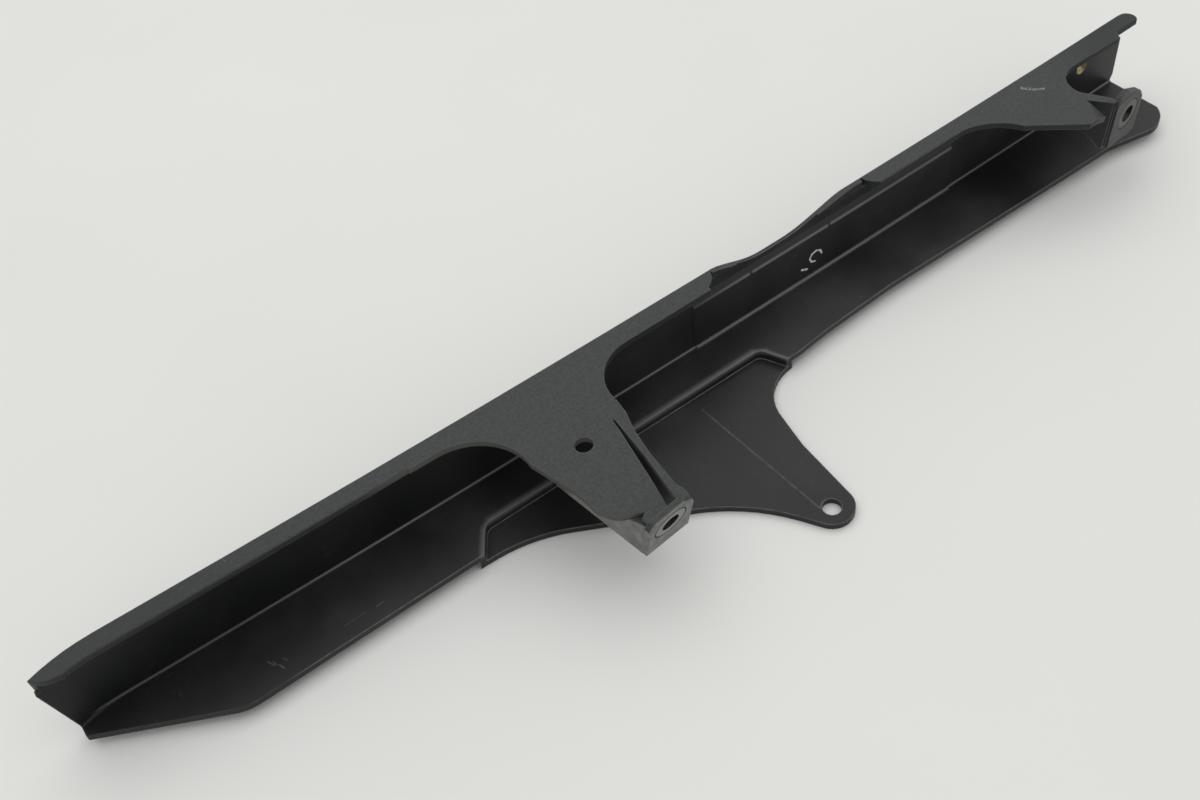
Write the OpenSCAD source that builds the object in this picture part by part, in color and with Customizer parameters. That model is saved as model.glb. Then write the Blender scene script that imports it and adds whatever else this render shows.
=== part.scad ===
// Motorcycle chain guard: one moulded channel with two bracket arms and a joggled tab.
// It is drawn with the side panel flat, the spine at the back and the flange on top, and with its
// origin in the front bore, which it is bolted up by.
// Stations x are measured along the guard from its front tip, and depths toward -Y from the
// spine's outer face at the two ends. Heights are measured from the side panel's underside.

/* [Channel] */
// Length of the guard along the flange
length = 486.2; // [478:0.2:510]
// Height over the flange, from the underside of the side panel
height = 35.2; // [33:0.1:40]
// Depth by which the spine bows toward the chain at its middle
bow = 3.9; // [2:0.1:6]
// Thickness of the spine
spine_t = 2.1; // [1.8:0.1:2.6]
// Thickness of the side panel
panel_t = 2.6; // [2:0.1:3.2]
// Thickness of the flange and of the arm plates
flange_t = 2.5; // [2:0.1:3]
// Width of the flange over the spine
flange_w = 7.6; // [6.5:0.1:9]
// Depth of the side panel's free edge ahead of the tab
panel_front = 33.2; // [31:0.1:36]
// Depth of the side panel's free edge behind the tab
panel_rear = 30.6; // [28:0.1:33]
// Depth of the side panel at the rear corner
panel_heel = 35.3; // [33:0.1:37]
// Radius of the rear corner of the side panel
heel_r = 14; // [8:0.5:16]
// Radius of the long outer edges of the spine
edge_r = 1.2; // [0.6:0.1:1.8]
// Radius in the long inside corners
root_r = 0.9; // [0.4:0.1:1.4]

/* [Front tip] */
// Station at which the spine starts to turn in toward the tip
tip_start = 24; // [20:1:30]
// Radius of that turn, on the outer face
tip_r = 62; // [55:1:90]
// Amount by which the panel's tip stands back from the flange's tip
tip_rake = 4.7; // [2:0.1:7]
// Station at which the panel reaches its full depth
tip_panel = 53; // [46:1:62]
// Depth of the panel at the tip
tip_depth = 8.6; // [7:0.1:11]

/* [Scallop and ledge] */
// Station at which the rim starts to fall
scallop_x = 259; // [255:1:262]
// Length of the scallop
scallop_len = 75; // [66:1:82]
// Depth of the scallop below the flange
scallop_d = 6.5; // [5:0.1:8]
// Height of the ledge's lower edge
ledge_z = 23.2; // [21:0.1:25]
// Height of the sloped ledge
ledge_h = 3; // [2:0.1:3.4]
// Station at which the ledge starts
ledge_x = 253; // [248:1:256]
// Length of the ledge
ledge_len = 131; // [120:1:140]
// Thickness of the spine under the ledge
ledge_low_t = 2.6; // [2.6:0.1:3.2]
// Thickness of the spine above the ledge
ledge_top_t = 1.3; // [1.1:0.1:1.6]

/* [Tab] */
// Station of the tab's hole
tab_x = 244.2; // [238:0.2:248]
// Depth of the tab's hole
tab_reach = 91; // [84:0.5:96]
// Diameter of the tab's hole
tab_hole_d = 6.8; // [5:0.1:8.5]
// Radius of the tab's round end
tab_end_r = 8.1; // [7.5:0.1:10]
// Drop of the tab below the side panel
tab_drop = 4.1; // [3:0.1:5]
// Depth of the step that the tab drops at
step_y = 22.8; // [20:0.1:25]
// Thickness of the step's wall
step_t = 2.2; // [1.8:0.1:2.6]
// Height of the low ridge along the tab
ridge_h = 0.4; // [0.2:0.1:0.8]
// Width of that ridge
ridge_w = 5; // [3:0.5:6]

/* [Front bracket] */
// Station of the front bore
front_x = 187.1; // [184:0.1:190]
// Depth of the front bore's face
front_reach = 78.9; // [75:0.1:84]
// Height of the front bore
front_z = 28.7; // [28:0.1:29.5]
// Turn of the front face toward the rear
front_turn = 5.9; // [0:0.1:9]
// Downward tilt of the front face
front_tilt = 14.9; // [10:0.1:18]
// Diameter of the hole in the arm's plate
arm_hole_d = 6.4; // [5:0.1:8]
// Distance of that hole behind the front bore
arm_hole_back = 38.5; // [34:0.5:44]
// Drop of the arm's plate where it meets the boss
front_dip = 1.3; // [0.5:0.1:1.6]

/* [Rear bracket] */
// Distance of the rear bore from the guard's rear end
rear_back = 38.6; // [36:0.2:44]
// Depth of the rear bore's face
rear_reach = 37; // [36:0.1:40]
// Height of the rear bore
rear_z = 23.7; // [22.5:0.1:25]
// Turn of the rear face toward the rear
rear_turn = 8.8; // [4:0.1:12]
// Downward tilt of the rear face
rear_tilt = 2.4; // [0:0.1:6]
// Drop of the rear arm's plate at its tip
rear_dip = 4; // [2:0.1:5]

/* [Bosses and collars] */
// Thickness of the face plates
boss_t = 3; // [2.5:0.1:4]
// Outer diameter of the collars
collar_d = 12.4; // [11:0.1:12.8]
// Bore of the collars
bore_d = 7; // [5.5:0.1:8.5]
// Clearance of a collar in its face plate, all round
collar_gap = 0.1; // [0.05:0.05:0.2]
// Thickness of the ribs beside the arms
rib_t = 3.2; // [2.6:0.1:3.8]
// Thickness of the web under the front arm
web_t = 2.2; // [1.6:0.1:3]
// Clearance round a bolt behind its collar
bolt_gap = 0.3; // [0.2:0.1:0.6]

/* [Brass insert] */
// Distance of the insert from the guard's rear end
insert_back = 25.8; // [22:0.2:30]
// Height of the insert
insert_z = 21.5; // [19:0.1:23]
// Diameter of the insert
insert_d = 5.8; // [4:0.1:7]
// Amount by which the insert stands out of the spine
insert_proud = 0.5; // [0.2:0.1:1]

/* [Hidden] */
$fn = 48;
over = 1;
plastic = [0.2, 0.21, 0.21];
scuffed = [0.45, 0.46, 0.46];

// The spine's outer face is one long arc through both ends
bow_r = (pow(length / 2, 2) + pow(bow, 2)) / (2 * bow);
sweep_w = max(panel_front, panel_heel) + bow + 1;
rear_x = length - rear_back;
insert_x = length - insert_back;
flange_z = height - flange_t;
arm_hole_y = front_reach - arm_hole_back;
collar_seat_d = collar_d + 2 * collar_gap;
wall_end = length - 1.5;
ear_shift = 0.6;
tip_front = 1.9;
back_tip = 1.4;
ledge_slope = ledge_h / (ledge_low_t - ledge_top_t);
web_start = front_reach - 32.4;

function arc(x, y, r, from, to, n = 10) =
    [for (i = [0:n]) [x + r * cos(from + (to - from) * i / n), y + r * sin(from + (to - from) * i / n)]];
function turn_at(x) = asin((x - length / 2) / bow_r);
function back_y(x) = bow_r - bow - sqrt(pow(bow_r, 2) - pow(x - length / 2, 2));
function ease(t) = (1 - cos(180 * min(1, max(0, t)))) / 2;
function rim_z(x) = height
    - scallop_d * ease((x - scallop_x) / (0.37 * scallop_len))
    * ease((scallop_x + scallop_len - x) / (0.5 * scallop_len));

// Middle of the front collar's bore
bore_mid = [front_x - boss_t / 2 * cos(front_tilt) * sin(front_turn),
            -front_reach + boss_t / 2 * cos(front_tilt) * cos(front_turn),
            front_z + boss_t / 2 * sin(front_tilt)];

// Everything is moved so that the origin lies in the middle of the front bore
module placed() {
    translate(-bore_mid) children();
}

// Sweeps a section along the bowed spine. The section's x is the depth from the outer face.
module along(from, to) {
    translate([length / 2, bow_r - bow, 0])
        rotate([0, 0, turn_at(from) - 90])
            rotate_extrude(angle = turn_at(to) - turn_at(from), $fn = 4500)
                translate([bow_r, 0]) children();
}

// Sweeps a section round the tighter turn at the front tip, starting a little inside the long sweep
module round_tip() {
    a = turn_at(tip_start);
    lap = 1;
    translate([length / 2 + (bow_r + tip_r) * sin(a), bow_r - bow - (bow_r + tip_r) * cos(a), 0])
        rotate([0, 0, a + 90 - lap])
            rotate_extrude(angle = 26 + lap, $fn = 360)
                translate([tip_r, 0]) mirror([1, 0]) children();
}

// Section of the channel: side panel below, spine, flange above. The tip's section is a hair
// smaller all round, so that it starts inside the long sweep.
module channel_section(less = 0) {
    in_r = root_r + less;
    lip_r = 0.7;
    polygon(concat(
        arc(edge_r, edge_r, edge_r - less, 180, 270, 6),
        [[sweep_w, less], [sweep_w, panel_t - less]],
        arc(spine_t + root_r, panel_t + root_r, in_r, 270, 180, 5),
        arc(spine_t + root_r, flange_z - root_r, in_r, 180, 90, 5),
        [[flange_w - less, flange_z + less]],
        arc(flange_w - lip_r, height - lip_r, lip_r - less, 0, 90, 4),
        arc(edge_r, height - edge_r, edge_r - less, 90, 180, 6)
    ));
}

// All that lies in front of the side panel's free edge
module panel_trim() {
    rise = (panel_front - tip_depth) / (tip_panel - tip_rake);
    far = sweep_w + 2 * bow;
    translate([0, 0, -over]) linear_extrude(panel_t + 2 * over)
        polygon(concat(
            [[-20, -tip_depth + rise * (20 + tip_rake)]],
            arc(tip_panel + 2, -panel_front + 16, 16, 243, 270, 6),
            [[tip_panel + 90, -panel_front], [tab_x + 36, -panel_front], [tab_x + 52, -panel_rear - 1],
             [tab_x + 85, -panel_rear + 0.5], [rear_x - 26, -panel_rear - 0.5], [rear_x + 2, -panel_rear - 0.6]],
            arc(wall_end - heel_r, -panel_heel + heel_r, heel_r, 270, 360, 10),
            [[wall_end, over], [length + 20, over], [length + 20, -far], [-20, -far]]
        ));
}

// The raked cut across the front tip, and the plan corner of the flange there
module tip_trim() {
    rotate([90, 0, 0]) translate([0, 0, -20]) linear_extrude(90)
        polygon([[-30, -over], [tip_rake + 1, -over], [tip_rake + 1, panel_t], [1, height], [1, height + over],
                 [-30, height + over]]);
    translate([0, 0, flange_z - 4]) linear_extrude(flange_t + 6)
        polygon(concat([[-8, -30], [-8, -4]], arc(11, -back_tip - flange_w + 10, 10, 180, 270, 8), [[11, -30]]));
}

// The wall's end at the rear, chamfered up to the overhanging tongue of the flange
module rear_trim() {
    slope = 9;
    rotate([90, 0, 0]) translate([0, 0, -20]) linear_extrude(90)
        polygon([[wall_end, -over], [wall_end, flange_z - slope], [wall_end - slope, flange_z],
                 [length + 20, flange_z], [length + 20, -over]]);
    rotate([90, 0, 0]) translate([0, 0, -20]) linear_extrude(90)
        polygon([[wall_end - 3, -over], [wall_end, 5.5], [wall_end + over, 5.5], [wall_end + over, -over]]);
    translate([0, 0, flange_z - over]) linear_extrude(flange_t + 2 * over)
        difference() {
            translate([length - 4, -30]) square([30, 60]);
            translate([length - 4, -4.8]) circle(4);
            translate([length - 20, -8.8]) square([16, 8.8]);
        }
}

// The dip in the rim, cut through spine and flange, and the rounded ends of the flange beside it
module scallop() {
    n = 30;
    rotate([90, 0, 0]) translate([0, 0, -20]) linear_extrude(50)
        polygon(concat(
            [for (i = [0:n]) let (x = scallop_x + scallop_len * i / n) [x, rim_z(x)]],
            [[scallop_x + scallop_len, height + over], [scallop_x, height + over]]
        ));
    y = -bow - flange_w;
    translate([0, 0, flange_z - root_r - 0.2]) linear_extrude(flange_t + 2)
        polygon(concat(
            arc(scallop_x - 5, y + 9, 9, 270, 360, 8),
            [[scallop_x + 4, -bow - spine_t], [scallop_x + scallop_len + 1, -bow - spine_t]],
            arc(scallop_x + scallop_len + 12, y + 9, 10, 180, 270, 8),
            [[scallop_x + scallop_len + 12, y - 6], [scallop_x - 5, y - 6]]
        ));
}

// The ledge along the spine's inner face: a thicker wall below, and a sloped cut that thins it above
module ledge_fill() {
    along(ledge_x, ledge_x + ledge_len)
        polygon([[spine_t - 0.5, panel_t - 0.5], [ledge_low_t + root_r, panel_t - 0.5],
                 [ledge_low_t + root_r, panel_t], [ledge_low_t, panel_t + root_r],
                 [ledge_low_t, ledge_z + 0.6 * ledge_h], [spine_t - 0.5, ledge_z + 0.6 * ledge_h]]);
}

module ledge_cut() {
    top = flange_z - root_r - 0.4;
    along(ledge_x - 0.01, ledge_x + ledge_len + 0.01)
        polygon([[ledge_low_t + 0.3, ledge_z - 0.3 * ledge_slope], [ledge_top_t, ledge_z + ledge_h],
                 [ledge_top_t, top], [ledge_low_t + 0.3, top]]);
}

// Plan of the area that steps down to the tab, grown on all sides by more
module step_plan(more) {
    y = -step_y + more;
    front = -panel_front - 1.5;
    w = more * 1.2;
    polygon(concat(
        [[tab_x - 104.4 - w, front]],
        arc(tab_x - 94.2, y - 4, 4, 150, 90, 5),
        arc(tab_x + 23, y - 4, 4, 90, 25, 5),
        [[tab_x + 31 + w, front]]
    ));
}

// Plan of the tab from the panel's free edge to its round end
module tab_plan() {
    e = -tab_reach + ear_shift;
    root = -panel_front - 0.1;
    polygon(concat(
        arc(tab_x - 102.6, root - 60, 60, 90, 61.5, 8),
        arc(tab_x - 72, e - 32.8, 71, 61.5, 31, 8),
        arc(tab_x + 0.4, e, tab_end_r, 211, 362, 16),
        [[tab_x + 10.3, e + 25.7]],
        arc(tab_x + 33.3, root - 20.4, 20.5, 172, 92, 10),
        [[tab_x + 30.4, -step_y - 6], [tab_x - 100, -step_y - 6]]
    ));
}

module tab() {
    difference() {
        union() {
            translate([0, 0, -tab_drop]) linear_extrude(panel_t) tab_plan();
            difference() {
                translate([0, 0, -tab_drop]) linear_extrude(tab_drop + panel_t) step_plan(step_t);
                translate([-over, -panel_front - 20, -tab_drop - over]) cube([length, 20, 2 * height]);
            }
        }
        translate([0, 0, panel_t - tab_drop]) linear_extrude(height) step_plan(0);
        translate([tab_x, -tab_reach, -tab_drop - over]) cylinder(d = tab_hole_d, h = panel_t + 2 * over);
    }
}

// Low ridge from the step to the tab's hole: steep on its front side, and fading out behind
module tab_ridge() {
    intersection() {
        translate([tab_x - 3.5, -tab_reach, panel_t - tab_drop]) rotate([90, 0, 2.9])
            translate([0, 0, -tab_reach + step_y + 2]) linear_extrude(tab_reach - step_y - 4)
                polygon([[0, -over], [0, ridge_h], [ridge_w, 0], [ridge_w, -over]]);
        translate([0, 0, -tab_drop]) linear_extrude(height) difference() {
            tab_plan();
            translate([tab_x, -tab_reach]) circle(d = tab_hole_d + 0.6);
        }
    }
}

// Plate of the front arm, from the flange to the boss's face plate
module front_arm_plan() {
    polygon(concat(
        [[front_x - 55, -bow - 2.5], [front_x - 55, -bow - flange_w + 0.4]],
        arc(front_x - 45.1, -33.4, 22.1, 90, -5, 12),
        [[front_x - 18.3, -front_reach + 25], [front_x - 17.7, -front_reach + 20]],
        arc(front_x - 5.7, -front_reach + 18, 12, 190, 236, 6),
        [[front_x - 6, -front_reach + 5.2], [front_x - 5.4, -front_reach], [front_x + 0.6, -front_reach],
         [front_x + 7.2, -arm_hole_y - 3], [front_x + 7.9, -arm_hole_y + 2]],
        [[front_x + 13, -arm_hole_y + 6], [front_x + 14.2, -arm_hole_y + 10]],
        arc(front_x + 31.9, -30.5, 17.8, 180, 90, 12),
        [[scallop_x - 2, -12.6], [scallop_x - 2, -bow - 2.5]]
    ));
}

// Strip of the rib along the rear edge of the front arm
module front_rib_plan() {
    polygon([[front_x + 14.2, -arm_hole_y + 9], [front_x + 13.4, -arm_hole_y + 2],
             [front_x + 11, -arm_hole_y - 5.5], [front_x + 9.2, -arm_hole_y - 16],
             [front_x + 7.8, -front_reach + 7], [front_x + 8.6, -front_reach + 4], [front_x + 8.6, -front_reach],
             [front_x + 4.2, -front_reach], [front_x + 11 - 1.2 * rib_t, -arm_hole_y - 16],
             [front_x + 14.2 - 1.7 * rib_t, -arm_hole_y + 4]]);
}

// Strip of the flat web that runs under the front arm's front edge to the boss's corner
module front_web_plan() {
    polygon([[front_x - 20.6, -web_start], [front_x - 8.3, -front_reach + 2.4], [front_x - 8.3, -front_reach - 3],
             [front_x - 8.3 + web_t, -front_reach - 3], [front_x - 8.3 + web_t, -front_reach + 3.2],
             [front_x - 20.6 + web_t, -web_start]]);
}

// Extrudes an outline of depths and heights along the whole guard
module side_profile(points, l = length) {
    rotate([90, 0, 90]) linear_extrude(l) polygon(points);
}

// Plate of an arm at flange height, which sinks by drop between the depths y0 and y1
module dipped_plate(y0, y1, drop) {
    n = 8;
    top = concat([[length, height]], [for (i = [0:n]) [y0 + (y1 - y0) * i / n, height - drop * ease(i / n)]],
                 [[y1 - 30, height - drop]]);
    translate([-length, 0, 0])
        side_profile(concat(top, [for (i = [len(top) - 1:-1:0]) top[i] - [0, flange_t]]), 3 * length);
}

// Keeps what lies above the sloping underside of a bracket, which runs from [y0, z0] to [y1, z1]
module above_slope(y0, z0, y1, z1) {
    intersection() {
        children();
        side_profile([[y0, z0], [y1, z1], [y1 - 20, z1], [y1 - 20, height], [y0 + 20, height], [y0 + 20, z0]]);
    }
}

// The web's underside runs straight from the arm's plate to the face's lower corner
module front_web() {
    intersection() {
        linear_extrude(height) front_web_plan();
        side_profile([[-web_start, flange_z], [-front_reach + 3.8, front_z - 14.1],
                      [-front_reach - 3, front_z - 18.4], [-front_reach - 3, front_z + 2.6],
                      [-front_reach + 10, flange_z - 0.6], [-front_reach + 17, flange_z + 0.8],
                      [-web_start, flange_z + 1]]);
    }
}

module front_face_plan() {
    polygon([[-8.4, -14.6], [10.2, -15.2], [9.6, 2.9], [4.9, 7.1], [-7, 6.7], [-8.9, 3.1]]);
}

module rear_face_plan() {
    polygon(concat([[9.5, -12.8], [9.4, 3.2], [6.5, 7.6], [-2.5, 12.2]],
        arc(-4.2, 6.6, 5.6, 80, 170, 6), [[-10, -11.2], [6.2, -13.8]]));
}

// Puts a face plate or a collar at its bore, turned and tilted as the bracket is
module at_front() {
    translate([front_x, -front_reach, front_z]) rotate([front_tilt, 0, front_turn]) children();
}

module at_rear() {
    translate([rear_x, -rear_reach, rear_z]) rotate([rear_tilt, 0, rear_turn]) children();
}

module face_plate() {
    rotate([90, 0, 0]) translate([0, 0, -boss_t]) linear_extrude(boss_t) children();
}

// Room for a collar in its face plate, and for the bolt's end behind it
module collar_seat() {
    way = 2.5;
    rotate([90, 0, 0]) {
        translate([0, 0, -boss_t - collar_gap]) cylinder(d = collar_seat_d, h = boss_t + 12);
        translate([0, 0, -boss_t - way]) cylinder(d = bore_d + 2 * bolt_gap, h = way);
    }
}

// All that lies in front of a face plate's middle, where the ribs, web and plate end
module before_face() {
    room = 60;
    translate([-room / 2, boss_t / 2 - room, -room / 2]) cube(room);
}

module front_bracket() {
    difference() {
        union() {
            difference() {
                union() {
                    intersection() {
                        linear_extrude(2 * height) front_arm_plan();
                        dipped_plate(-front_reach + 15, -front_reach + 1, front_dip);
                    }
                    above_slope(-arm_hole_y + 10, height - 8, -front_reach + 2, front_z - 13)
                        linear_extrude(height) front_rib_plan();
                    front_web();
                }
                at_front() before_face();
            }
            at_front() face_plate() front_face_plan();
            at_front() translate([-7.4, boss_t - over, 2.5]) cube([2.6, over + 2.6, 4.1]);
        }
        at_front() collar_seat();
        translate([front_x - 5.3, -arm_hole_y, flange_z - over]) cylinder(d = arm_hole_d, h = flange_t + 2 * over);
    }
}

module rear_arm_plan() {
    polygon(concat(
        [[rear_x - 76, -bow - 0.5], [rear_x - 76, -9.8]],
        arc(rear_x - 67.6, -34.2, 24.2, 90, 25, 10),
        [[rear_x - 27.5, -rear_reach - 3], [rear_x - 20.3, -rear_reach - 4.7], [rear_x - 16.1, -rear_reach - 3],
         [rear_x - 17.6, -rear_reach + 9], [rear_x - 15.4, -rear_reach + 12]],
        arc(rear_x - 4.6, -22.3, 11, 195, 90, 10),
        [[length - 16, -11.2], [length - 14, -8.8], [length - 14, -2]]
    ));
}

module rear_rib_plan() {
    polygon([[rear_x - 15.6, -rear_reach + 13], [rear_x - 9.6, -rear_reach + 2], [rear_x - 9.6, -rear_reach - 1.4],
             [rear_x - 11, -rear_reach - 1.4], [rear_x - 16.6 - 0.6 * rib_t, -rear_reach + 9.5]]);
}

// The rear plate is level up to the rib's root, and beyond it sinks askew toward its tip
module rear_plate() {
    root = [rear_x - 14.7, -rear_reach + 12.7];
    askew = 53.6;
    lap = 0.3;
    translate([0, 0, flange_z]) linear_extrude(flange_t) difference() {
        rear_arm_plan();
        translate([0, root[1] - lap - length]) square([length, length]);
    }
    intersection() {
        linear_extrude(2 * height) difference() {
            rear_arm_plan();
            translate([0, root[1]]) square([length, length]);
        }
        translate(root) rotate([0, 0, askew]) dipped_plate(0, -9, rear_dip);
    }
}

module rear_bracket() {
    difference() {
        union() {
            difference() {
                union() {
                    rear_plate();
                    above_slope(-rear_reach + 13, height - 8, -rear_reach + 1, rear_z - 11) linear_extrude(height)
                        rear_rib_plan();
                }
                at_rear() before_face();
            }
            at_rear() face_plate() rear_face_plan();
        }
        at_rear() collar_seat();
    }
}

module channel() {
    difference() {
        union() {
            along(tip_start, length) channel_section();
            round_tip() channel_section(0.04);
            ledge_fill();
        }
        panel_trim();
        tip_trim();
        rear_trim();
        scallop();
        ledge_cut();
        translate([0, 0, panel_t - tab_drop]) linear_extrude(tab_drop + over) step_plan(0);
    }
}

module chain_guard() {
    color(plastic) placed() difference() {
        union() {
            channel();
            tab();
            tab_ridge();
            front_bracket();
            rear_bracket();
        }
        translate([insert_x, 0, insert_z]) rotate([90, 0, 0])
            translate([0, 0, -over]) cylinder(d = insert_d + 2 * collar_gap, h = bow + spine_t + 2 * over);
    }
}

module collar() {
    rotate([90, 0, 0]) translate([0, 0, -boss_t]) difference() {
        cylinder(d = collar_d, h = boss_t);
        translate([0, 0, -over]) cylinder(d = bore_d, h = boss_t + 2 * over);
    }
}

module front_collar() {
    color(scuffed) placed() at_front() collar();
}

module rear_collar() {
    color(scuffed) placed() at_rear() collar();
}

module brass_insert() {
    color([0.71, 0.6, 0.33]) placed()
        translate([insert_x, back_y(insert_x), insert_z]) rotate([90, 0, 0])
            cylinder(d = insert_d, h = spine_t + insert_proud);
}

chain_guard();
front_collar();
rear_collar();
brass_insert();
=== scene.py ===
import bpy
from mathutils import Matrix, Vector


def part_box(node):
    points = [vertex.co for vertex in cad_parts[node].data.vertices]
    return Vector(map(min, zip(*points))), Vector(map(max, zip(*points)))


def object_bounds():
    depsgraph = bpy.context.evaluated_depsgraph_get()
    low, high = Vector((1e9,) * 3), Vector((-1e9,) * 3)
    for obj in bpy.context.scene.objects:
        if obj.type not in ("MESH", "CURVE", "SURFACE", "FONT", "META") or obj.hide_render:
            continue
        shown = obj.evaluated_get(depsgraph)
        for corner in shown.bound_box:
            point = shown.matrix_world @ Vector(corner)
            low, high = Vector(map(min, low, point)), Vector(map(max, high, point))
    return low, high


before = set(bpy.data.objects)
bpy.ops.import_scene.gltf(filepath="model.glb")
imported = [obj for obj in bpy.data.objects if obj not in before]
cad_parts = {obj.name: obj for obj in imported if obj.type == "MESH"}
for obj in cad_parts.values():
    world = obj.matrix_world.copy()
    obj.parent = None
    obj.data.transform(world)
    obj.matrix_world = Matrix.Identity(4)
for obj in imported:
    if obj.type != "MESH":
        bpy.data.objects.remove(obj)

cad_box = [list(map(float, corner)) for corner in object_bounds()]
bpy.ops.object.select_all(action="DESELECT")

# Camera: it stands in front of the guard and above it, turned a little to the right and rolled,
# as the photograph was taken. The picture is 1200 by 800 pixels.
camera_data = bpy.data.cameras.new("camera")
camera_data.sensor_width = 36
camera_data.lens = 39.67
camera_data.clip_start = 0.01
camera = bpy.data.objects.new("camera", camera_data)
bpy.context.scene.collection.objects.link(camera)
camera_place = (-0.127636, -0.204179, 0.339488)
camera_right = Vector((0.80694, -0.58069, -0.10799))
camera_up = Vector((0.50131, 0.57667, 0.64511))
camera_back = camera_right.cross(camera_up)
camera_turn = Matrix((camera_right, camera_up, camera_back)).transposed().to_4x4()
camera.matrix_world = Matrix.Translation(camera_place) @ camera_turn
bpy.context.scene.camera = camera
bpy.context.scene.view_settings.view_transform = "Standard"

# Table: a plain pale table top, just under the tab, which is the lowest part of the guard.
# Its tone drifts a little from place to place.
table_gap, table_width = 0.0001, 6
dark_table, pale_table = (0.645, 0.648, 0.625, 1), (0.695, 0.70, 0.677, 1)
bpy.ops.mesh.primitive_plane_add(size=table_width, location=(0, 0, cad_box[0][2] - table_gap))
table = bpy.context.object
table.name = "table"
bpy.ops.object.transform_apply(location=True, rotation=True, scale=True)
table_paint = bpy.data.materials.new("table_paint")
table_paint.use_nodes = True
table_nodes = table_paint.node_tree.nodes
table_links = table_paint.node_tree.links
table_shader = table_nodes["Principled BSDF"]
table_shader.inputs["Roughness"].default_value = 0.55
table_shader.inputs["Specular IOR Level"].default_value = 0.2
table_place = table_nodes.new("ShaderNodeTexCoord")
table_cloud = table_nodes.new("ShaderNodeTexNoise")
table_cloud.inputs["Scale"].default_value = 5
table_cloud.inputs["Detail"].default_value = 3
table_tone = table_nodes.new("ShaderNodeValToRGB")
table_tone.color_ramp.elements[0].color = dark_table
table_tone.color_ramp.elements[1].color = pale_table
table_links.new(table_place.outputs["Object"], table_cloud.inputs["Vector"])
table_links.new(table_cloud.outputs["Fac"], table_tone.inputs["Fac"])
table_links.new(table_tone.outputs["Color"], table_shader.inputs["Base Color"])
table.data.materials.append(table_paint)

# Light: a bright even room, with a wide soft lamp above and behind the guard that draws the light
# lines along its rounded edges.
world = bpy.data.worlds.new("room")
world.use_nodes = True
room = world.node_tree.nodes["Background"]
room.inputs["Color"].default_value = (0.97, 0.975, 0.97, 1)
room.inputs["Strength"].default_value = 0.8
bpy.context.scene.world = world
lamp_data = bpy.data.lights.new("window", "AREA")
lamp_data.shape = "RECTANGLE"
lamp_data.size = 2.6
lamp_data.size_y = 2.0
lamp_data.energy = 13.5
lamp = bpy.data.objects.new("window", lamp_data)
bpy.context.scene.collection.objects.link(lamp)
lamp.location = (0.25, 0.35, 1.4)
lamp.rotation_euler = (-Vector(lamp.location)).to_track_quat("-Z", "Y").to_euler()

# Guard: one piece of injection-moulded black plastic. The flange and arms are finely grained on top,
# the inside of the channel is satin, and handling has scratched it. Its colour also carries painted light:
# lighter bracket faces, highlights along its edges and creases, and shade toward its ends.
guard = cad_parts["chain_guard"]
flange_top, panel_top = 0.0061, -0.0265
ledge_ends = (0.06605, 0.19705)
spine_bow, spine_centre = 7.57235, (0.05605, 7.64591, 0.0)
front_bore, front_facing = (0.00015, -0.00144, -0.00039), (0.099336, -0.961257, -0.257133)
rear_bore, rear_facing = (0.26065, 0.04046, -0.00539), (0.152852, -0.987362, -0.041876)
front_plate_reach, rear_plate_reach = 0.021, 0.022
collar_rim = 0.0064


def wire(links, value, socket):
    """Feeds a socket with a number, a colour, a vector or another node's output."""
    if isinstance(value, bpy.types.NodeSocket):
        links.new(value, socket)
    else:
        socket.default_value = value


def reckon(tree, operation, first, second=0.0, third=0.0):
    """Works out a number from up to three others."""
    node = tree.nodes.new("ShaderNodeMath")
    node.operation = operation
    for socket, value in zip(node.inputs, (first, second, third)):
        wire(tree.links, value, socket)
    return node.outputs[0]


def measure(tree, operation, first, second=(0, 0, 0)):
    """Works out a vector, or a number, from two vectors."""
    node = tree.nodes.new("ShaderNodeVectorMath")
    node.operation = operation
    wire(tree.links, first, node.inputs[0])
    wire(tree.links, second, node.inputs[1])
    gives_number = operation in ("DOT_PRODUCT", "LENGTH", "DISTANCE")
    return node.outputs["Value" if gives_number else "Vector"]


def fade(tree, value, low, high, at_low=0.0, at_high=1.0):
    """Turns a value into a smooth step from at_low to at_high."""
    node = tree.nodes.new("ShaderNodeMapRange")
    node.interpolation_type = "SMOOTHSTEP"
    wire(tree.links, value, node.inputs["Value"])
    for name, number in (("From Min", low), ("From Max", high), ("To Min", at_low), ("To Max", at_high)):
        node.inputs[name].default_value = number
    return node.outputs["Result"]


def grain(tree, place, scale, detail=2.0, roughness=0.5, stretch=(1, 1, 1), turn=(0, 0, 0)):
    """Noise in millimetres at a scale given as marks per millimetre."""
    mapping = tree.nodes.new("ShaderNodeMapping")
    mapping.inputs["Scale"].default_value = [1000 * part for part in stretch]
    mapping.inputs["Rotation"].default_value = turn
    tree.links.new(place, mapping.inputs["Vector"])
    noise = tree.nodes.new("ShaderNodeTexNoise")
    noise.inputs["Scale"].default_value = scale
    noise.inputs["Detail"].default_value = detail
    noise.inputs["Roughness"].default_value = roughness
    tree.links.new(mapping.outputs["Vector"], noise.inputs["Vector"])
    return noise.outputs["Fac"]


def blend(tree, amount, first, second):
    """Mixes two colours."""
    node = tree.nodes.new("ShaderNodeMix")
    node.data_type = "RGBA"
    wire(tree.links, amount, node.inputs["Factor"])
    wire(tree.links, first, node.inputs["A"])
    wire(tree.links, second, node.inputs["B"])
    return node.outputs["Result"]


def where_all(tree, *masks):
    """Is 1 only where every mask is 1."""
    joined = masks[0]
    for mask in masks[1:]:
        joined = reckon(tree, "MULTIPLY", joined, mask)
    return joined


def where_any(tree, *masks):
    """Is 1 where any mask is 1."""
    joined = masks[0]
    for mask in masks[1:]:
        joined = reckon(tree, "MAXIMUM", joined, mask)
    return joined


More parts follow.
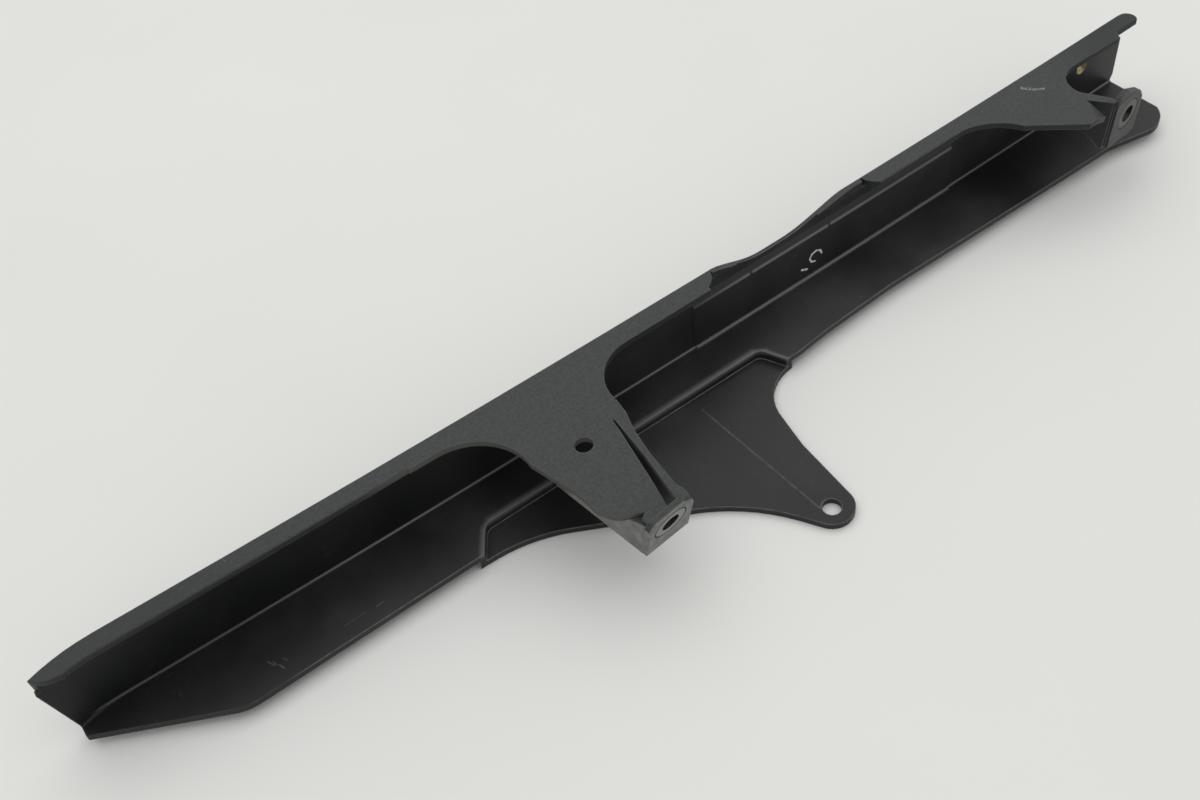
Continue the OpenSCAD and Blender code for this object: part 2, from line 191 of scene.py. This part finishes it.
def distance_from(tree, value, line):
    """How far a value lies from a line, on either side."""
    return reckon(tree, "ABSOLUTE", reckon(tree, "SUBTRACT", value, line))


def bracket_face(tree, place, bore, facing, reach):
    """Is 1 on a bracket's face plate: at its plane, and within reach of its bore."""
    away = measure(tree, "SUBTRACT", place, bore)
    at_plane = fade(tree, measure(tree, "DOT_PRODUCT", away, facing), -0.0013, -0.0003)
    return where_all(tree, at_plane, fade(tree, measure(tree, "LENGTH", away), reach, reach * 0.92))


def collar_gap(tree, place, bore, face):
    """Is 1 on a face in a thin ring round its collar, where shade is painted."""
    beside = distance_from(tree, measure(tree, "DISTANCE", place, bore), collar_rim)
    return where_all(tree, fade(tree, beside, 0.00055, 0.00015), face)


def stroke(tree, place, start, end, width, soft=0.5):
    """Is 1 along a straight stroke between two points."""
    start, end = Vector(start), Vector(end)
    way = end - start
    away = measure(tree, "SUBTRACT", place, start)
    along = measure(tree, "DOT_PRODUCT", away, way / way.length_squared)
    foot = tree.nodes.new("ShaderNodeVectorMath")
    foot.operation = "SCALE"
    foot.inputs[0].default_value = way
    share = reckon(tree, "MINIMUM", reckon(tree, "MAXIMUM", along, 0.0), 1.0)
    tree.links.new(share, foot.inputs["Scale"])
    gap = measure(tree, "DISTANCE", away, foot.outputs["Vector"])
    return fade(tree, gap, width / 2, width / 2 * soft)


plastic = bpy.data.materials.new("black_moulding")
plastic.use_nodes = True
tree = plastic.node_tree
plastic_shader = tree.nodes["Principled BSDF"]
place = tree.nodes.new("ShaderNodeTexCoord").outputs["Object"]
axes = tree.nodes.new("ShaderNodeSeparateXYZ")
tree.links.new(place, axes.inputs["Vector"])
x, y, z = axes.outputs
surface = tree.nodes.new("ShaderNodeNewGeometry")
facing = tree.nodes.new("ShaderNodeSeparateXYZ")
tree.links.new(surface.outputs["True Normal"], facing.inputs["Vector"])
facing_x, facing_y, facing_z = facing.outputs

# The grained outside: the top of the flange and arms, the flange's side, the spine's back and the
# panel's underside
on_top = where_all(tree, fade(tree, z, 0.0006, 0.0016), fade(tree, facing_z, 0.45, 0.8))
flange_side = where_all(tree, fade(tree, z, 0.0034, 0.0038), fade(tree, facing_z, -0.5, -0.2))
on_back = where_all(tree, fade(tree, y, 0.0722, 0.0732), fade(tree, facing_y, 0.45, 0.8))
under = where_all(tree, fade(tree, z, -0.0282, -0.0288), fade(tree, facing_z, -0.45, -0.8))
outside = where_any(tree, on_top, flange_side, on_back, under)

# The bare faces of the brackets and the web beside the front one, painted light grey as painted light, and a
# thin ring of painted shade round each collar
front_face = bracket_face(tree, place, front_bore, front_facing, front_plate_reach)
rear_face = bracket_face(tree, place, rear_bore, rear_facing, rear_plate_reach)
web_side = where_all(tree, fade(tree, y, 0.036, 0.020), fade(tree, z, 0.0034, 0.0024),
                     fade(tree, z, -0.023, -0.019), fade(tree, facing_x, -0.3, -0.7),
                     fade(tree, x, 0.0, -0.004))
lit_bracket_faces = where_any(tree, front_face, reckon(tree, "MULTIPLY", rear_face, 0.17),
                 reckon(tree, "MULTIPLY", web_side, 0.95))
gap_shade = where_any(tree, collar_gap(tree, place, front_bore, front_face),
                 collar_gap(tree, place, rear_bore, rear_face))

# The grain of the mould, the drift of its tone, and the specks and scratches of long use
fine = grain(tree, place, 1.9, 3, 0.6)
patches = grain(tree, place, 0.03, 4, 0.55)
rubbed = grain(tree, place, 0.25, 5, 0.65)
specks = fade(tree, grain(tree, place, 0.9, 2, 0.5), 0.72, 0.8)
scratch_long = fade(tree, grain(tree, place, 0.16, 2, 0.5, (1, 22, 22), (0.2, 0.1, 0.5)), 0.70, 0.73)
scratch_cross = fade(tree, grain(tree, place, 0.2, 2, 0.5, (26, 1, 26), (0.1, 0.4, -0.6)), 0.715, 0.74)
scratches = where_all(tree, where_any(tree, scratch_long, scratch_cross), fade(tree, patches, 0.44, 0.6))

# How deep a place lies from the spine's outer face, which bows round a far centre, how high above the
# panel's top face, and whether it is on the spine's inner wall or along the ledge
flat_place = tree.nodes.new("ShaderNodeCombineXYZ")
tree.links.new(x, flat_place.inputs["X"])
tree.links.new(y, flat_place.inputs["Y"])
from_centre = measure(tree, "DISTANCE", flat_place.outputs["Vector"], spine_centre)
depth = reckon(tree, "SUBTRACT", from_centre, spine_bow)
rise = reckon(tree, "ADD", z, 0.026486)
ledge_zone = where_all(tree, fade(tree, x, 0.0655, 0.0675), fade(tree, x, 0.1975, 0.1965))
on_wall = where_all(tree, fade(tree, depth, 0.0036, 0.0030), fade(tree, facing_y, -0.3, -0.8))

# Painted highlights: light lines painted where light catches the mould's rounded creases, along the inside
# corner between the wall and the panel, along the ledge, and along the shoulder of the tab's step
corner_shift = reckon(tree, "MULTIPLY_ADD", ledge_zone, 0.0005, 0.0021)
beside_corner = distance_from(tree, reckon(tree, "SUBTRACT", depth, rise), corner_shift)
crease_highlight = where_all(tree, fade(tree, beside_corner, 0.0009, 0.0),
                   fade(tree, reckon(tree, "ADD", depth, rise), 0.0052, 0.0042),
                   fade(tree, facing_y, 0.0, -0.1), fade(tree, x, -0.06, -0.13, 1.0, 0.42))
ledge_rise = 0.0207
ledge_highlight = where_all(tree, fade(tree, distance_from(tree, rise, ledge_rise), 0.0009, 0.0002),
                       ledge_zone, on_wall, fade(tree, x, 0.060, 0.095, 0.25, 1.0))
for notch in (0.0935, 0.1321):
    ledge_highlight = where_all(tree, ledge_highlight, fade(tree, distance_from(tree, x, notch), 0.0004, 0.0009))
shoulder_corners = [(-0.0471, 0.0428), (-0.0404, 0.0527), (-0.0370, 0.0547), (0.0803, 0.0547),
                    (0.0839, 0.0524), (0.0875, 0.0444)]
shoulder_widths = (0.0050, 0.0050, 0.0056, 0.0050, 0.0036)
shoulder_highlight = where_any(tree, *[
    stroke(tree, place, (*start, panel_top), (*end, panel_top), width, 0.0)
    for start, end, width in zip(shoulder_corners, shoulder_corners[1:], shoulder_widths)])
# Painted highlights along the crease, the ledge and the tab's shoulder
painted_highlights = where_any(tree, crease_highlight, reckon(tree, "MULTIPLY", ledge_highlight, 0.8),
                   reckon(tree, "MULTIPLY", shoulder_highlight, 0.75))

# Marks that use has left: nicks near the front tip, a pale scuff on the flange near the rear arm, and
# a dab of white paint on the wall, put on with two strokes of a brush
panel_nicks = [
    ((-0.1232, 0.0548), (-0.1221, 0.0521), 0.0005), ((-0.1219, 0.0535), (-0.1213, 0.0519), 0.0005),
    ((-0.1207, 0.0512), (-0.1199, 0.0493), 0.0006), ((-0.1186, 0.0527), (-0.1180, 0.0512), 0.0004),
    ((-0.0969, 0.0503), (-0.0888, 0.0505), 0.0005), ((-0.0850, 0.0500), (-0.0822, 0.0502), 0.0004)]
flange_nick = stroke(tree, place, (-0.1190, 0.0752, flange_top), (-0.1182, 0.0728, flange_top), 0.0006)
nicks = where_any(tree, flange_nick, *[
    stroke(tree, place, (*start, panel_top), (*end, panel_top), width) for start, end, width in panel_nicks])
nicks = where_all(tree, nicks, fade(tree, rubbed, 0.35, 0.6, 0.3, 1.0))
scuff = where_any(
    tree,
    stroke(tree, place, (0.2316, 0.0700, flange_top), (0.2335, 0.0672, flange_top), 0.0026, 0.1),
    stroke(tree, place, (0.2335, 0.0665, flange_top), (0.2371, 0.0642, flange_top), 0.0020, 0.1))
scuff = where_all(tree, scuff, fade(tree, fine, 0.4, 0.62))
wall_axes = tree.nodes.new("ShaderNodeCombineXYZ")
tree.links.new(x, wall_axes.inputs["X"])
tree.links.new(z, wall_axes.inputs["Z"])
wall_place = wall_axes.outputs["Vector"]
brush = [(0.1284, -0.0180), (0.1277, -0.0160), (0.1256, -0.0150), (0.1234, -0.0156), (0.1224, -0.0175),
         (0.1232, -0.0194), (0.1250, -0.0201)]
long_dab = [stroke(tree, wall_place, (x1, 0, z1), (x2, 0, z2), 0.0011, 0.55)
            for (x1, z1), (x2, z2) in zip(brush, brush[1:])]
short_dab = stroke(tree, wall_place, (0.1184, 0, -0.0206), (0.1210, 0, -0.0219), 0.0013, 0.4)
dry_brush = fade(tree, grain(tree, place, 1.1, 3, 0.7), 0.36, 0.5)
paint = where_all(tree, where_any(tree, short_dab, *long_dab), dry_brush, on_wall)

# Edges painted lighter, partly as wear and partly as painted highlights, found where a rounded normal leaves
# the true one. They are painted fainter at the ledge's two ends and at the front tip.
rounded = tree.nodes.new("ShaderNodeBevel")
rounded.samples = 6
rounded.inputs["Radius"].default_value = 0.0008
roundness = measure(tree, "DOT_PRODUCT", rounded.outputs["Normal"], surface.outputs["Normal"])
edge_wear_and_highlight = where_all(tree, fade(tree, roundness, 0.985, 0.82), fade(tree, rubbed, 0.25, 0.7, 0.3, 0.9))
for ledge_end in ledge_ends:
    at_end = where_all(tree, fade(tree, distance_from(tree, x, ledge_end), 0.0035, 0.0015),
                       fade(tree, z, 0.0035, 0.0030), fade(tree, depth, 0.0036, 0.0030))
    edge_wear_and_highlight = where_all(tree, edge_wear_and_highlight, reckon(tree, "MULTIPLY_ADD", at_end, -0.85, 1.0))
edge_wear_and_highlight = where_all(tree, edge_wear_and_highlight, fade(tree, x, -0.122, -0.108, 0.3, 1.0))

# Painted shade: the satin inside is painted darker on the wall toward the front and all over toward the front
# tip, and the grained outside toward both ends
satin = blend(tree, fade(tree, patches, 0.3, 0.7), (0.0110, 0.0112, 0.0125, 1), (0.0225, 0.0225, 0.0235, 1))
shaded_wall = where_all(tree, on_wall, fade(tree, x, 0.03, -0.06, 0.15, 0.85))
satin = blend(tree, shaded_wall, satin, (0.0052, 0.0056, 0.0058, 1))
shaded_tip = fade(tree, x, -0.110, -0.148, 0.0, 0.7)
satin = blend(tree, shaded_tip, satin, (0.0052, 0.0056, 0.0064, 1))
mottle = reckon(tree, "MULTIPLY_ADD", grain(tree, place, 0.95, 2, 0.6), 0.7,
                reckon(tree, "MULTIPLY", patches, 0.3))
grained = blend(tree, fade(tree, mottle, 0.36, 0.64),
                (0.0305, 0.0345, 0.0335, 1), (0.0440, 0.0490, 0.0470, 1))
# Painted shade toward both ends of the grained outside
shaded_ends = where_any(tree, fade(tree, x, -0.06, -0.15, 0.0, 0.55),
                         fade(tree, x, 0.242, 0.282, 0.0, 0.85))
grained = blend(tree, shaded_ends, grained, (0.0215, 0.0250, 0.0243, 1))
colour = blend(tree, outside, satin, grained)

# The flange's side carries a painted olive-grey reflection along the front arm, and is darker elsewhere
side_band = where_all(tree, flange_side, fade(tree, facing_z, 0.5, 0.2))
reflection_along_arm = where_all(tree, fade(tree, x, -0.080, -0.055), fade(tree, x, 0.014, 0.006))
side_reflection_tone = blend(tree, reflection_along_arm, (0.017, 0.018, 0.018, 1), (0.068, 0.068, 0.060, 1))
colour = blend(tree, side_band, colour, side_reflection_tone)

# Over these lie the bracket faces painted light, then the edges with their wear and painted highlights, the
# painted highlights of the creases, the marks, and the painted shade of the collar gaps
# Painted light with a scuffed mottle: the lighter grey of the bracket faces
lit_scuffed_grey = blend(tree, fade(tree, rubbed, 0.25, 0.8), (0.120, 0.124, 0.116, 1), (0.225, 0.230, 0.215, 1))
# Painted highlight and wear: the lighter grey of the edges
worn_and_lit_grey = blend(tree, outside, (0.21, 0.215, 0.21, 1), (0.12, 0.124, 0.12, 1))
for mask, strength, tone in (
        (lit_bracket_faces, 1.0, lit_scuffed_grey),
        (edge_wear_and_highlight, 1.0, worn_and_lit_grey),
        (painted_highlights, 1.0, (0.135, 0.135, 0.132, 1)),
        (scratches, 0.4, (0.13, 0.13, 0.13, 1)),
        (nicks, 0.45, (0.14, 0.14, 0.145, 1)),
        (scuff, 0.8, (0.30, 0.31, 0.31, 1)),
        (specks, 0.12, (0.25, 0.24, 0.22, 1)),
        (gap_shade, 0.9, (0.004, 0.004, 0.004, 1)),
        (paint, 1.0, (0.66, 0.69, 0.73, 1))):
    colour = blend(tree, reckon(tree, "MULTIPLY", mask, strength), colour, tone)
tree.links.new(colour, plastic_shader.inputs["Base Color"])
plastic_shader.inputs["Specular IOR Level"].default_value = 0.28

# The collar gaps are painted as black clefts of shade, so they reflect nothing: a metal's reflection takes
# its dark colour
tree.links.new(reckon(tree, "MULTIPLY", gap_shade, 0.85), plastic_shader.inputs["Metallic"])

# Satin inside, duller where it is grained, bare or scratched, and a skin-deep relief in the same places
rough = fade(tree, patches, 0.3, 0.7, 0.40, 0.52)
for mask, more in ((outside, 0.14), (lit_bracket_faces, 0.18), (scratches, 0.1)):
    rough = reckon(tree, "MULTIPLY_ADD", mask, more, rough)
tree.links.new(rough, plastic_shader.inputs["Roughness"])
relief = reckon(tree, "MULTIPLY", fine, reckon(tree, "MULTIPLY_ADD", outside, 0.9, 0.12))
for mask, height in ((scratches, -0.3), (nicks, -1.5), (gap_shade, -2.5)):
    relief = reckon(tree, "MULTIPLY_ADD", mask, height, relief)
bump = tree.nodes.new("ShaderNodeBump")
bump.inputs["Strength"].default_value = 0.5
bump.inputs["Distance"].default_value = 0.00006
tree.links.new(relief, bump.inputs["Height"])
tree.links.new(rounded.outputs["Normal"], bump.inputs["Normal"])
tree.links.new(bump.outputs["Normal"], plastic_shader.inputs["Normal"])
guard.data.materials.clear()
guard.data.materials.append(plastic)

# Collars: the two rings in the bracket faces, which keep the bolts from crushing the plastic. They
# are dull grey metal, turned and scuffed; the rear one's face and the bore walls are darker as painted shade.
collar_metal = bpy.data.materials.new("collar_metal")
collar_metal.use_nodes = True
tree = collar_metal.node_tree
collar_shader = tree.nodes["Principled BSDF"]
collar_shader.inputs["Metallic"].default_value = 0.35
collar_place = tree.nodes.new("ShaderNodeTexCoord").outputs["Object"]
collar_axes = tree.nodes.new("ShaderNodeSeparateXYZ")
tree.links.new(collar_place, collar_axes.inputs["Vector"])
collar_facing = tree.nodes.new("ShaderNodeSeparateXYZ")
tree.links.new(tree.nodes.new("ShaderNodeNewGeometry").outputs["True Normal"], collar_facing.inputs["Vector"])
collar_rub = grain(tree, collar_place, 0.7, 4, 0.6)
collar_face = fade(tree, reckon(tree, "ABSOLUTE", collar_facing.outputs["Y"]), 0.90, 0.93)
face_tone = blend(tree, fade(tree, collar_rub, 0.3, 0.75), (0.15, 0.155, 0.15, 1), (0.27, 0.275, 0.265, 1))
# Painted shade: the rear collar's face is painted darker
rear_shade = fade(tree, collar_axes.outputs["X"], 0.1, 0.11, 0.0, 0.78)
face_tone = blend(tree, rear_shade, face_tone, (0.045, 0.046, 0.045, 1))
# Painted shade: the bore walls are painted near black
collar_tone = blend(tree, collar_face, (0.018, 0.018, 0.018, 1), face_tone)
tree.links.new(collar_tone, collar_shader.inputs["Base Color"])
tree.links.new(fade(tree, collar_rub, 0.25, 0.8, 0.38, 0.6), collar_shader.inputs["Roughness"])
for name in ("front_collar", "rear_collar"):
    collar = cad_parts[name]
    collar.data.materials.clear()
    collar.data.materials.append(collar_metal)

# Insert: a small brass disc pressed into the spine near its rear end. Age has dulled it. Its upper right
# half is painted brown as painted shade under the flange, and its lower left half lighter as painted light.
insert_brass = bpy.data.materials.new("dull_brass")
insert_brass.use_nodes = True
tree = insert_brass.node_tree
brass_shader = tree.nodes["Principled BSDF"]
brass_shader.inputs["Metallic"].default_value = 0.8
brass_place = tree.nodes.new("ShaderNodeTexCoord").outputs["Object"]
brass_stain = grain(tree, brass_place, 0.8, 4, 0.6)
brass_low, brass_high = (Vector(corner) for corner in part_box("brass_insert"))
brass_middle = (brass_low + brass_high) / 2
brass_axes = tree.nodes.new("ShaderNodeSeparateXYZ")
tree.links.new(brass_place, brass_axes.inputs["Vector"])
lower_left = reckon(tree, "ADD", reckon(tree, "SUBTRACT", brass_middle.x, brass_axes.outputs["X"]),
                    reckon(tree, "SUBTRACT", brass_middle.z, brass_axes.outputs["Z"]))
lit_brass = blend(tree, fade(tree, brass_stain, 0.3, 0.7), (0.50, 0.40, 0.17, 1), (0.78, 0.70, 0.45, 1))
shaded_brass = blend(tree, fade(tree, brass_stain, 0.3, 0.7), (0.10, 0.06, 0.015, 1), (0.28, 0.18, 0.05, 1))
# Painted light and shade: lit brass on the lower left half, shaded brass on the upper right
brass_tone = blend(tree, fade(tree, lower_left, -0.0008, 0.0008), shaded_brass, lit_brass)
tree.links.new(brass_tone, brass_shader.inputs["Base Color"])
tree.links.new(fade(tree, brass_stain, 0.3, 0.7, 0.32, 0.5), brass_shader.inputs["Roughness"])
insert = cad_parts["brass_insert"]
insert.data.materials.clear()
insert.data.materials.append(insert_brass)
